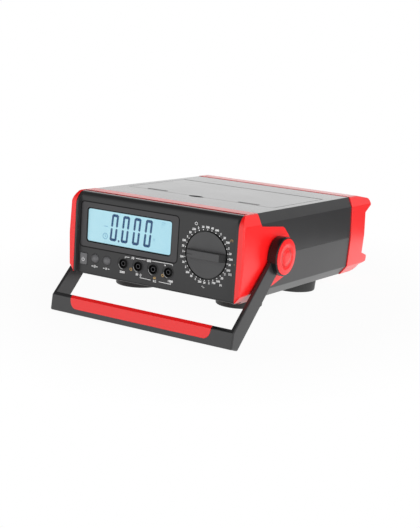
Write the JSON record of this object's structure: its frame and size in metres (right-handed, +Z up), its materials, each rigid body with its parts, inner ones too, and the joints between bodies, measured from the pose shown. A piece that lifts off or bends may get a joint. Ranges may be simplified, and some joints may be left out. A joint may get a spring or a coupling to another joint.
{
  "type": "bench multimeter",
  "caption": "Bench digital multimeter with rotary dial, lit display, input jacks, red bumpers, lidded storage compartment and a swivelling carry handle used as a stand.",
  "frame": {"origin": "bench surface under the middle of the standing meter, midway between the handle bar and the rear ears", "axes": "+X to the user's right, +Y from the front panel to the back, +Z up; the meter stands tipped back by 6.9 degrees on its handle bar"},
  "size_m": [0.2426, 0.3208, 0.1289],
  "materials": {
    "case_plastic": "fine moulded texture",
    "red_bumper": "satin moulded plastic",
    "panel_plastic": "fine texture with white print",
    "bezel_plastic": "satin",
    "display_glass": "clear",
    "lcd": "lit pale blue",
    "backlight": "diffusing",
    "frame_plastic": "moulded",
    "board": "green laminate",
    "component": "moulded",
    "black_plastic": "satin",
    "contact_metal": "nickel plated",
    "steel": "zinc plated",
    "copper_coil": "taped winding",
    "button_plastic": "satin",
    "knob_plastic": "satin",
    "handle_plastic": "fine texture",
    "foot_rubber": "matte",
    "cell_jacket": "printed sleeve",
    "fuse_glass": "clear"
  },
  "bodies": {
    "case": {"case_top": "case_plastic", "case_bottom": "case_plastic", "case_screws": "steel", "front_bumper": "red_bumper", "rear_bumper": "red_bumper", "front_panel": "panel_plastic", "display_bezel": "bezel_plastic", "display_window": "display_glass", "lcd_glass": "lcd", "lcd_backlight": "backlight", "lcd_frame": "frame_plastic", "main_board": "board", "board_screws": "steel", "board_parts": "component", "jack_sleeves": "black_plastic", "jack_contacts": "contact_metal", "input_fuses": "fuse_glass", "fuse_clips": "contact_metal", "button_switches": "component", "power_switch": "component", "dial_bush": "contact_metal", "detent_ring": "frame_plastic", "storage_tray": "case_plastic", "lid_hinge_pins": "steel", "battery_box": "black_plastic", "battery_cells": "cell_jacket", "cell_contacts": "contact_metal", "battery_door": "case_plastic", "door_screw": "steel", "feet": "foot_rubber", "foot_screws": "steel", "pivot_bushes": "contact_metal", "pivot_screws": "steel", "spring_washers": "steel", "rear_panel": "panel_plastic", "mains_inlet": "black_plastic", "inlet_pins": "contact_metal", "power_board": "board", "power_parts": "component", "transformer_core": "steel", "transformer_coil": "copper_coil"},
    "handle": {"handle_frame": "handle_plastic", "handle_grip": "red_bumper", "handle_hubs": "black_plastic", "hub_caps": "red_bumper"},
    "dial": {"dial_knob": "knob_plastic", "dial_shaft": "steel", "dial_rotor": "frame_plastic", "dial_wipers": "contact_metal", "detent_balls": "steel"},
    "power": {"power_button": "button_plastic", "power_plunger": "black_plastic"},
    "light": {"light_button": "button_plastic"},
    "hold": {"hold_button": "button_plastic"},
    "lid": {"storage_lid": "case_plastic"},
    "drawer": {"fuse_drawer": "black_plastic", "mains_fuse": "fuse_glass"}
  },
  "joints": [
    {"name": "handle_pivot", "type": "hinge", "parent": "case", "child": "handle", "pos_m": [0, -0.06485, 0.07675], "axis": [-1, 0, 0], "range_deg": [-45, 175]},
    {"name": "dial_turn", "type": "hinge", "parent": "case", "child": "dial", "pos_m": [0.0627, -0.12617, 0.0845], "axis": [0, -0.9927, 0.1205], "continuous": true},
    {"name": "power_press", "type": "slide", "parent": "case", "child": "power", "axis": [0, 0.9927, -0.1205], "range_m": [0, 0.0025], "stiffness_N_per_m": 900, "springref_m": -0.0005},
    {"name": "light_press", "type": "slide", "parent": "case", "child": "light", "axis": [0, 0.9927, -0.1205], "range_m": [0, 0.0015], "stiffness_N_per_m": 1000, "springref_m": -0.0005},
    {"name": "hold_press", "type": "slide", "parent": "case", "child": "hold", "axis": [0, 0.9927, -0.1205], "range_m": [0, 0.0015], "stiffness_N_per_m": 1000, "springref_m": -0.0005},
    {"name": "lid_hinge", "type": "hinge", "parent": "case", "child": "lid", "pos_m": [0, 0.06365, 0.10467], "axis": [-1, 0, 0], "range_deg": [0, 90]},
    {"name": "fuse_drawer_slide", "type": "slide", "parent": "case", "child": "drawer", "axis": [0, 0.9927, -0.1205], "range_m": [0, 0.014]}
  ]
}
